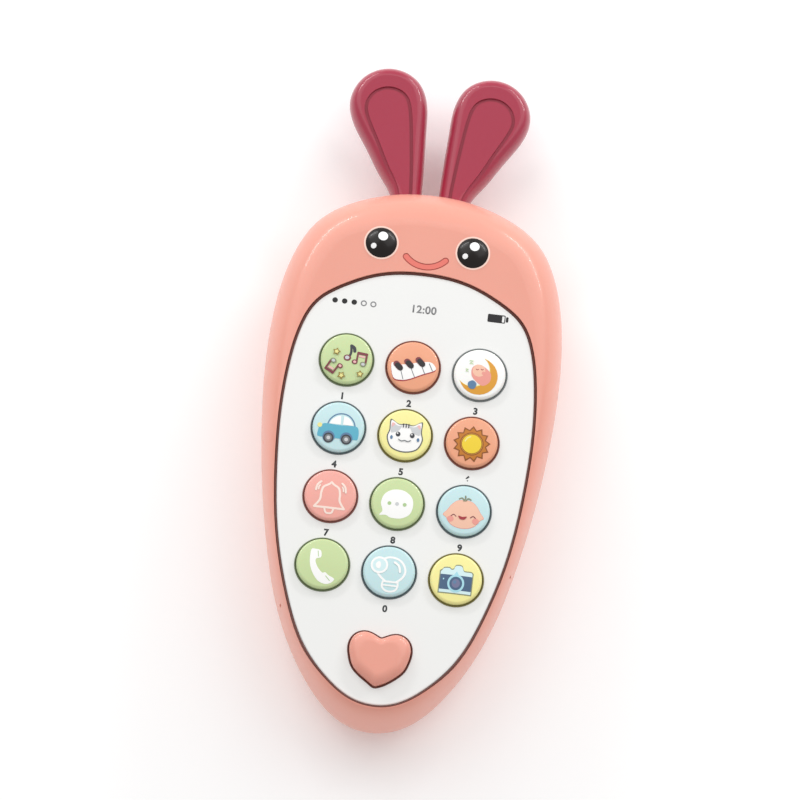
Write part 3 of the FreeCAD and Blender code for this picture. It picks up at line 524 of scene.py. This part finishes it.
for key, colour in KEY_TINTS.items():
    dress(cap_plastic[colour], key)
    spot = middle(key)
    bm = bmesh.new()
    # The ring in the hole is painted shade for the gap round the cap.
    torus(bm, RING_RADIUS, RING_THICKNESS, panel_top + RING_LIFT, spot)
    ring = finished(bm, key + "_ring", rim_shade[colour])
    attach(ring, "casing")
    # The band round the cap's side is painted shade for the side in shadow.
    bm = bmesh.new()
    band(bm, CAP_RADIUS + BAND_CLEARANCE, panel_top - BAND_DEPTH, panel_top + BAND_HEIGHT * MM, spot)
    side = finished(bm, key + "_band", band_shade[colour])
    wall = side.modifiers.new("wall", "SOLIDIFY")
    wall.thickness = BAND_WALL
    wall.offset = -1
    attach(side, key + "_body")

# ---- pictures on the keys ----------------------------------------------------------------------------------
# Each cap's face is printed in a few flat inks, one over another: notes and stars, a keyboard, a moon, a car,
# a cat, a sun, a bell, a speech bubble, a baby, a handset, a light bulb and a camera. Units are millimetres
# from the middle of the cap.
FACE_RADIUS = 6.0
FACE_RISE = 0.3
PICTURE_DROP = 0.6 * MM
INKS = {"white": (253, 252, 250), "cream": (250, 228, 216), "grey": (120, 124, 128),
        "dark": (58, 60, 66), "ebony": (40, 36, 38), "maroon": (126, 58, 66), "rose": (240, 186, 184),
        "gold": (150, 128, 58), "straw": (240, 232, 150), "amber": (224, 158, 48),
        "brown": (140, 78, 22), "rust": (196, 120, 30), "iron": (92, 94, 96), "lemon": (242, 210, 50),
        "teal": (92, 178, 202), "sky": (170, 222, 234), "ice": (214, 240, 242),
        "peach": (246, 196, 170), "blush": (238, 158, 146), "navy": (70, 98, 130),
        "slate": (92, 128, 164), "olive": (134, 140, 112), "silver": (206, 208, 210),
        "wine": (168, 52, 60), "leaf": (190, 216, 160), "sage": (176, 206, 148),
        "violet": (116, 118, 152)}
ink_order = list(INKS)
ink_materials = [moulded("ink_" + name + "_print", paint(*rgb), 0.42, coat=0.1, flow=0.01)
                 for name, rgb in INKS.items()]


def smooth(points, steps=6, closed=True):
    """A Catmull-Rom line through points."""
    count = len(points)
    line = []
    for i in range(count if closed else count - 1):
        if closed:
            a, b, c, d = (points[(i + k) % count] for k in (-1, 0, 1, 2))
        else:
            a, b, c, d = (points[min(max(i + k, 0), count - 1)] for k in (-1, 0, 1, 2))
        for s in range(steps):
            t = s / steps
            line.append(tuple(0.5 * (2 * b[k] + (c[k] - a[k]) * t
                                     + (2 * a[k] - 5 * b[k] + 4 * c[k] - d[k]) * t * t
                                     + (3 * b[k] - a[k] - 3 * c[k] + d[k]) * t ** 3) for k in (0, 1)))
    return line if closed else line + [points[-1]]


def stroke(points, width, cap=5):
    """The outline of a round-ended line drawn with a pen of one width."""
    half = width / 2
    left, right = [], []
    for i, (x, y) in enumerate(points):
        ax, ay = points[max(i - 1, 0)]
        bx, by = points[min(i + 1, len(points) - 1)]
        size = math.hypot(bx - ax, by - ay) or 1.0
        nx, ny = -(by - ay) / size * half, (bx - ax) / size * half
        left.append((x + nx, y + ny))
        right.append((x - nx, y - ny))

    def end(centre, start):
        return [(centre[0] + (start[0] - centre[0]) * math.cos(t) + (start[1] - centre[1]) * math.sin(t),
                 centre[1] - (start[0] - centre[0]) * math.sin(t) + (start[1] - centre[1]) * math.cos(t))
                for t in (math.pi * k / cap for k in range(1, cap))]

    return left + end(points[-1], left[-1]) + right[::-1] + end(points[0], right[0])


def star(x, y, outer, inner, tips, lean=0.0):
    points = []
    for i in range(2 * tips):
        radius = outer if i % 2 == 0 else inner
        angle = lean + math.pi * i / tips
        points.append((x + radius * math.sin(angle), y + radius * math.cos(angle)))
    return points


def ring_of(x, y, outer, inner, sides=32):
    return [round_outline(x, y, outer, sides), round_outline(x, y, inner, sides)]


def note_pair(x, y, lean, scale):
    """Two quavers joined by a beam."""
    def put(points):
        c, s = math.cos(lean) * scale, math.sin(lean) * scale
        return [(x + px * c - py * s, y + px * s + py * c) for px, py in points]
    return [("maroon", [put(bar_outline(-1.2, 1.5, 1.05, 1.75, 0.1))]),
            ("maroon", [put(bar_outline(-1.25, -0.8, -1.1, 1.6, 0.15))]),
            ("maroon", [put(bar_outline(1.1, 1.6, -1.3, 1.7, 0.15))]),
            ("rose", [put(bar_outline(-0.65, 0.95, 0.35, 0.85, 0.15))]),
            ("maroon", [put(round_outline(-1.5, -1.15, 0.62, wide=1.2))]),
            ("rose", [put(round_outline(-1.5, -1.15, 0.34, wide=1.2))]),
            ("olive", [put(round_outline(0.75, -1.4, 0.66, wide=1.2))]),
            ("silver", [put(round_outline(0.75, -1.4, 0.38, wide=1.2))])]


def resized(layers, wide, tall, right=0.0, up=0.0):
    """An icon's layers stretched about the middle of the cap, and moved."""
    return [(ink, [[(x * wide + right, y * tall + up) for x, y in outline] for outline in outlines])
            for ink, outlines in layers]


def notes():
    layers = [("dark", [stroke(smooth([(0.6, 0.9), (1.0, 2.4), (0.85, 4.2)], closed=False), 0.62)]),
              ("dark", [stroke(smooth([(0.95, 4.1), (1.7, 3.6), (1.9, 2.75)], closed=False), 0.85)]),
              ("maroon", [round_outline(0.15, 0.75, 0.85, wide=1.15)]),
              ("silver", [round_outline(0.1, 0.8, 0.5, wide=1.15)])]
    layers += note_pair(3.75, 0.9, math.radians(-4), 1.0)
    layers += note_pair(-3.35, -2.0, math.radians(152), 1.0)
    for x, y, size, lean in ((-2.8, 2.1, 1.1, 0.2), (-0.9, -4.2, 1.15, 0.5), (3.9, -3.3, 1.05, 0.0)):
        layers += [("gold", [star(x, y, size, size * 0.55, 5, lean)]),
                   ("straw", [star(x, y, size * 0.55, size * 0.32, 5, lean)])]
    return layers


def keyboard():
    sheet = smooth([(-5.7, 0.9), (-3.4, 0.6), (-0.4, 1.2), (2.2, 1.9), (4.5, 2.1), (5.8, 1.0), (5.6, 0.0),
                    (2.6, -1.4), (-0.6, -3.0), (-2.9, -3.5), (-4.9, -2.9)], steps=4)
    layers = [("wine", [[(x, y - 0.32) for x, y in sheet]]), ("white", [sheet])]
    for x0, y0, x1, y1 in ((-3.5, 0.2, -2.3, -3.2), (-0.8, 0.5, 0.6, -2.3), (2.0, 1.2, 3.2, -1.2),
                           (4.1, 1.7, 5.1, -0.1)):
        layers.append(("grey", [stroke([(x0, y0), (x1, y1)], 0.2)]))
    for x, y in ((-3.9, 0.2), (-1.15, 1.05), (1.75, 1.85)):
        layers.append(("maroon", [stroke([(x - 0.55, y + 0.55), (x + 0.5, y - 0.45)], 1.6)]))
        layers.append(("ebony", [stroke([(x - 0.25, y + 0.2), (x + 0.65, y - 0.6)], 1.35)]))
    return layers


def moon():
    def arc(cx, cy, r, start, stop, steps=18):
        angles = [math.radians(start + (stop - start) * i / steps) for i in range(steps + 1)]
        return [(cx + r * math.cos(angle), cy + r * math.sin(angle)) for angle in angles]

    crescent = arc(-0.25, -0.1, 5.0, 76.8, -160.7) + arc(-1.75, 1.25, 4.4, -137, 53.1)
    glow = arc(-0.45, 0.1, 4.95, 74, -158) + arc(-1.95, 1.45, 4.4, -137, 52)
    figure = [("blush", [smooth([(-1.9, 1.4), (-0.6, 2.3), (0.9, 1.8), (2.4, 0.4), (2.3, -1.6), (0.8, -2.6),
                                 (-0.8, -1.7), (-1.9, -0.4)])]),
              ("peach", [round_outline(-0.35, 0.85, 1.45)]),
              ("blush", [round_outline(0.75, 0.35, 0.42)]),
              ("wine", [stroke(smooth([(-1.0, 1.15), (-0.75, 0.98), (-0.5, 1.15)], closed=False), 0.16)]),
              ("wine", [stroke(smooth([(0.1, 1.25), (0.35, 1.08), (0.6, 1.25)], closed=False), 0.16)]),
              ("slate", [smooth([(-2.5, -2.2), (-1.5, -1.6), (-0.6, -2.3), (-1.0, -3.5), (-2.2, -3.4)])])]
    return [("straw", [glow]), ("amber", [crescent])] + resized(figure, 1.15, 1.15, right=0.1, up=0.4) + [
        ("leaf", [stroke([(-2.9, 3.9), (-2.1, 3.9), (-2.9, 3.1), (-2.1, 3.1)], 0.24)]),
        ("leaf", [stroke([(-3.7, 1.5), (-3.1, 1.5), (-3.7, 0.9), (-3.1, 0.9)], 0.2)])]


def car():
    body = smooth([(-5.2, -1.0), (-4.9, 0.2), (-4.0, 0.95), (-2.8, 1.05), (0.0, 0.9), (3.0, 1.05), (4.9, 0.9),
                   (5.4, -0.6), (5.3, -2.3), (4.6, -2.6), (0.0, -2.7), (-4.6, -2.6), (-5.3, -2.1)], steps=4)
    roof = smooth([(-2.9, 0.9), (-2.3, 2.4), (-0.9, 3.7), (0.9, 4.1), (2.6, 3.6), (3.8, 2.3), (4.3, 0.9)],
                  closed=False)
    left = smooth([(-2.4, 1.1), (-1.9, 2.2), (-0.7, 3.2), (0.4, 3.5)], closed=False) + [(0.5, 1.15)]
    back = smooth([(1.2, 3.5), (2.4, 3.1), (3.3, 2.2), (3.75, 1.15)], closed=False) + [(1.1, 1.15)]
    layers = [("slate", [stroke(roof, 0.34)]), ("white", [left]), ("white", [back]), ("teal", [body]),
              ("straw", [round_outline(-4.9, 0.5, 0.62)])]
    for x in (-2.3, 2.35):
        layers += [("slate", [round_outline(x, -2.45, 1.6)]), ("dark", [round_outline(x, -2.75, 1.35)]),
                   ("grey", [round_outline(x, -2.75, 0.95)]), ("silver", [round_outline(x, -2.75, 0.5)])]
    return layers


def cat():
    head = smooth([(-4.75, -0.6), (-4.3, 1.4), (-4.3, 3.9), (-3.6, 3.95), (-2.0, 3.05), (0.0, 3.2),
                   (2.0, 3.05), (3.6, 3.95), (4.3, 3.9), (4.3, 1.4), (4.75, -0.6), (3.4, -3.1), (0.0, -4.0),
                   (-3.4, -3.1)], steps=5)
    smile = [(-1.7, -0.95), (-0.9, -1.3), (0.0, -1.1), (0.9, -1.3), (1.7, -0.95)]
    layers = [("iron", [[(x * 1.07, y * 1.08) for x, y in head]]), ("white", [head])]
    for s in (-1, 1):
        layers += [("silver", [smooth([(s * 4.1, 0.9), (s * 4.0, 3.2), (s * 2.2, 2.75), (s * 1.1, 2.85),
                                       (s * 1.9, 1.4), (s * 3.0, 0.9)])]),
                   ("rose", [smooth([(s * 3.95, 3.45), (s * 3.1, 3.2), (s * 3.95, 2.3)])]),
                   ("dark", [round_outline(s * 2.0, 0.45, 0.66)]),
                   ("white", [round_outline(s * 2.0 - 0.15, 0.68, 0.2)]),
                   ("slate", [round_outline(s * 3.75, -0.55, 0.52, wide=0.7)])]
    for x in (-0.75, 0.0, 0.75):
        layers.append(("dark", [stroke([(x, 3.35), (x, 2.5)], 0.3)]))
    layers.append(("grey", [stroke(smooth(smile, closed=False), 0.24)]))
    return resized(layers, 0.93, 1.0, up=-0.1)


def sun():
    return [("brown", [star(0, 0, 4.95, 3.85, 13)]), ("rust", [star(0, 0, 4.35, 3.5, 13)]),
            ("brown", [round_outline(0, 0, 3.1, 40)]), ("amber", [round_outline(0, 0, 2.85, 40)]),
            ("brown", [round_outline(0, 0, 2.72, 40)]), ("lemon", [round_outline(0, 0, 2.55, 40)]),
            ("straw", [stroke(smooth([(-1.75, 0.6), (-1.3, 1.45), (-0.5, 1.9)], closed=False), 0.34)])]


def bell():
    side = smooth([(0.0, 4.0), (-0.6, 3.4), (-2.0, 2.5), (-2.45, 0.9), (-2.6, -1.0), (-3.9, -2.9)],
                  closed=False)
    clapper = [(-1.2, -3.05), (-0.7, -4.3), (0.7, -4.3), (1.2, -3.05)]
    other = [(-x, y) for x, y in side]
    loop = side[::-1] + other[1:]
    layers = [("cream", [stroke(loop, 0.55)]), ("cream", [stroke([(-3.9, -2.95), (3.9, -2.95)], 0.55)]),
              ("cream", [stroke(smooth(clapper, closed=False), 0.5)])]
    for s in (-1, 1):
        outer = [(s * 2.75, 3.9), (s * 3.6, 3.0), (s * 3.9, 1.6)]
        inner = [(s * 2.9, 2.9), (s * 3.2, 2.4), (s * 3.25, 1.8)]
        layers.append(("cream", [stroke(smooth(outer, closed=False), 0.55)]))
        layers.append(("cream", [stroke(smooth(inner, closed=False), 0.42)]))
    return layers


def bubble():
    body = smooth([(-4.2, 0.1), (-3.5, 2.5), (-1.4, 3.9), (1.4, 3.9), (3.6, 2.4), (4.2, 0.1), (3.5, -2.3),
                   (1.4, -3.6), (-1.2, -3.7), (-2.6, -3.1), (-4.3, -3.2), (-3.6, -2.0)])
    dots = (("sage", -2.0), ("silver", 0.0), ("sage", 2.0))
    return [("white", [body])] + [(ink, [round_outline(x, 0.15, 0.5)]) for ink, x in dots]


def baby():
    side = [(0.0, 3.2), (1.9, 2.9), (3.3, 1.7), (4.2, 0.3), (5.2, -1.0), (4.3, -1.8), (3.3, -3.2), (1.9, -4.0),
            (0.0, -4.3)]
    face = smooth(side + [(-x, y) for x, y in side[-2:0:-1]])
    layers = [("blush", [[(x * 1.03, y * 1.03) for x, y in face]]), ("peach", [face])]
    for s in (-1, 1):
        eye = [(s * 1.9, -1.3), (s * 2.55, -0.85), (s * 3.2, -1.3)]
        hair = [(s * 0.2, 3.1), (s * 0.8, 3.8), (s * 1.5, 3.5)]
        layers += [("blush", [round_outline(s * 3.3, -2.1, 0.8, wide=1.1)]),
                   ("maroon", [stroke(smooth(eye, closed=False), 0.24)]),
                   ("olive", [stroke(smooth(hair, closed=False), 0.34)])]
    layers += [("olive", [stroke(smooth([(-0.3, 3.1), (0.1, 3.9), (0.0, 4.4)], closed=False), 0.34)]),
               ("wine", [smooth([(-1.3, -1.1), (-0.2, -1.3), (0.9, -1.1), (0.5, -1.85), (-0.2, -2.05),
                                 (-0.9, -1.85)])])]
    return layers


def handset():
    grip = smooth([(-3.25, 3.9), (-2.3, 4.25), (-0.75, 3.9), (-0.5, 2.2), (-1.6, 1.7), (-1.8, 0.9),
                   (-1.1, -0.6), (0.2, -1.95), (1.0, -1.8), (1.9, -2.45), (3.5, -3.3), (2.6, -4.5),
                   (1.1, -4.85), (-0.8, -4.1), (-2.5, -1.8), (-3.3, 0.8)])
    return [("white", [grip]), ("sage", [stroke([(-1.45, 3.75), (-1.2, 2.3)], 0.2)]),
            ("sage", [stroke([(1.25, -2.75), (2.35, -3.85)], 0.2)])]


def bulb():
    glass = smooth([(-0.9, -2.2), (-2.3, -1.0), (-3.0, 0.2), (-2.6, 2.6), (-0.8, 4.1), (1.6, 4.1),
                    (3.4, 2.9), (4.2, 0.9), (3.6, -0.9), (2.2, -2.2)], closed=False)
    base = smooth([(-1.3, -2.3), (-1.5, -3.6), (-0.6, -4.7), (1.0, -4.9), (2.2, -4.3), (2.6, -3.2),
                   (2.5, -2.2)], closed=False)
    return [("white", [stroke(glass, 0.55)]), ("white", [stroke(base, 0.5)]),
            ("white", [stroke([(-1.2, -2.35), (2.4, -2.35)], 0.5)]),
            ("white", [stroke([(-1.1, -3.35), (2.2, -3.35)], 0.42)]),
            ("ice", [round_outline(-2.7, 1.9, 2.15, 32)]), ("white", ring_of(-2.7, 1.9, 2.3, 1.75)),
            ("white", [smooth([(-2.9, 2.9), (-3.6, 2.2), (-3.5, 1.3), (-2.7, 0.9), (-2.3, 1.6),
                               (-2.4, 2.5)])]),
            ("white", [stroke(smooth([(1.2, 3.0), (2.4, 2.1), (2.8, 0.6)], closed=False), 0.6)])]


def shutter():
    def case(g):
        """The camera's outline, grown by g."""
        top = smooth([(-4.6 - g, 2.2 + g), (-4.1, 2.75 + g), (-3.7, 3.2 + g), (-2.2, 3.3 + g), (-1.6, 2.9 + g),
                      (-0.9, 3.1 + g), (-0.5, 4.0 + g), (0.6, 4.2 + g), (1.5, 3.9 + g), (1.9, 2.9 + g),
                      (2.5, 2.6 + g), (4.2, 2.6 + g), (4.6 + g, 2.1 + g)], steps=3, closed=False)
        return top + [(4.6 + g, -3.4 - g), (-4.6 - g, -3.4 - g)]

    layers = [("olive", [case(0.3)]), ("ice", [case(0.0)]),
            ("navy", [bar_outline(-4.6, 4.6, -2.6, 1.5, 0.15)]),
            ("sky", [[(-1.1, 0.9), (0.0, 2.6), (1.2, 0.9)]]), ("sky", ring_of(0.05, -0.75, 2.45, 0.3)),
            ("navy", [round_outline(0.05, -0.75, 1.85, 32)]),
            ("violet", [round_outline(0.05, -0.75, 1.2, 32)]),
            ("slate", [round_outline(-0.3, -0.4, 0.5)]), ("sky", [round_outline(-3.6, 0.2, 0.22)])]
    return resized(layers, 0.9, 0.98)


def picture(key, layers):
    """Lays one icon's inks on the cap of a key, each a hair above the one before."""
    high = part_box(key)[1].z
    spot = middle(key)
    bm = bmesh.new()
    for number, (ink, outlines) in enumerate(layers):
        part = bmesh.new()
        part.from_mesh(flat_mesh(outlines, place=(0, -PICTURE_DROP)))
        lay_on_dome(part, FACE_RADIUS * MM, FACE_RISE * MM, high, INK_HEIGHT * (1 + 0.4 * number))
        for one in part.faces:
            one.material_index = ink_order.index(ink)
        scrap = bpy.data.meshes.new("scrap")
        part.to_mesh(scrap)
        part.free()
        bm.from_mesh(scrap)
        bpy.data.meshes.remove(scrap)
    bmesh.ops.translate(bm, verts=bm.verts, vec=(spot.x, spot.y, 0))
    mesh = bpy.data.meshes.new(key + "_picture")
    bm.to_mesh(mesh)
    bm.free()
    printed(mesh, key + "_picture", ink_materials, key + "_body")


PICTURES = {"key_1": notes, "key_2": keyboard, "key_3": moon, "key_4": car, "key_5": cat, "key_6": sun,
            "key_7": bell, "key_8": bubble, "key_9": baby, "key_call": handset, "key_0": bulb,
            "key_camera": shutter}
for key, draw in PICTURES.items():
    picture(key, draw())

# ---- working parts -----------------------------------------------------------------------------------------
# What the casing holds: a silicone mat, a green board with its parts, the speaker, the switch, wires, screws,
# and three cells with nickel-plated contacts. Metal has a fine brushed grain, the rest is moulded or coated.


def metal(name, colour, roughness):
    material = moulded(name, colour, roughness, coat=0.0, flow=0.05, skin=0.06)
    material.node_tree.nodes["Principled BSDF"].inputs["Metallic"].default_value = 1.0
    return material


dress(moulded("mat_silicone", paint(206, 206, 200), 0.55, coat=0.0, soft=0.2), "keypad_mat")
dress(moulded("board_green", paint(40, 96, 62), 0.4, coat=0.4, flow=0.12), "circuit_board")
dress(moulded("chip_resin", paint(18, 18, 18), 0.25, coat=0.5), "sound_chip")
dress(moulded("part_ceramic", paint(70, 58, 48), 0.5), "board_parts")
dress(metal("speaker_steel", paint(160, 160, 164), 0.35), "speaker_frame", "speaker_magnet")
dress(moulded("cone_film", paint(225, 222, 214), 0.3), "speaker_cone")
dress(metal("nickel", paint(202, 200, 196), 0.28), "switch_body", "battery_springs", "battery_plates")
dress(moulded("black_nylon", paint(30, 30, 33), 0.5, coat=0.0, skin=0.08), "switch_knob")
dress(metal("zinc", paint(186, 188, 192), 0.3), "battery_cover_screw", "case_screws", "board_screws")
dress(moulded("red_pvc", paint(190, 36, 34), 0.4), "speaker_wires", "battery_wires")


def cell_jacket():
    """A plain printed jacket: dark over most of its length, with a warm metal-coloured band at one end."""
    material = moulded("cell_jacket", paint(46, 50, 56), 0.3, coat=0.4)
    tree = material.node_tree
    shader = tree.nodes["Principled BSDF"]
    base = shader.inputs["Base Color"].links[0].from_socket
    place = tree.nodes.new("ShaderNodeTexCoord")
    split = tree.nodes.new("ShaderNodeSeparateXYZ")
    low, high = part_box("battery_cell_1")
    step = tree.nodes.new("ShaderNodeMath")
    step.operation = "GREATER_THAN"
    step.inputs[1].default_value = high.y - 0.28 * (high.y - low.y)
    mix = tree.nodes.new("ShaderNodeMix")
    mix.data_type = "RGBA"
    mix.inputs["B"].default_value = (*paint(196, 142, 84), 1)
    tree.links.new(place.outputs["Object"], split.inputs["Vector"])
    tree.links.new(split.outputs["Y"], step.inputs[0])
    tree.links.new(step.outputs["Value"], mix.inputs["Factor"])
    tree.links.new(base, mix.inputs["A"])
    tree.links.new(mix.outputs["Result"], shader.inputs["Base Color"])
    return material


dress(cell_jacket(), "battery_cell_1", "battery_cell_2", "battery_cell_3")
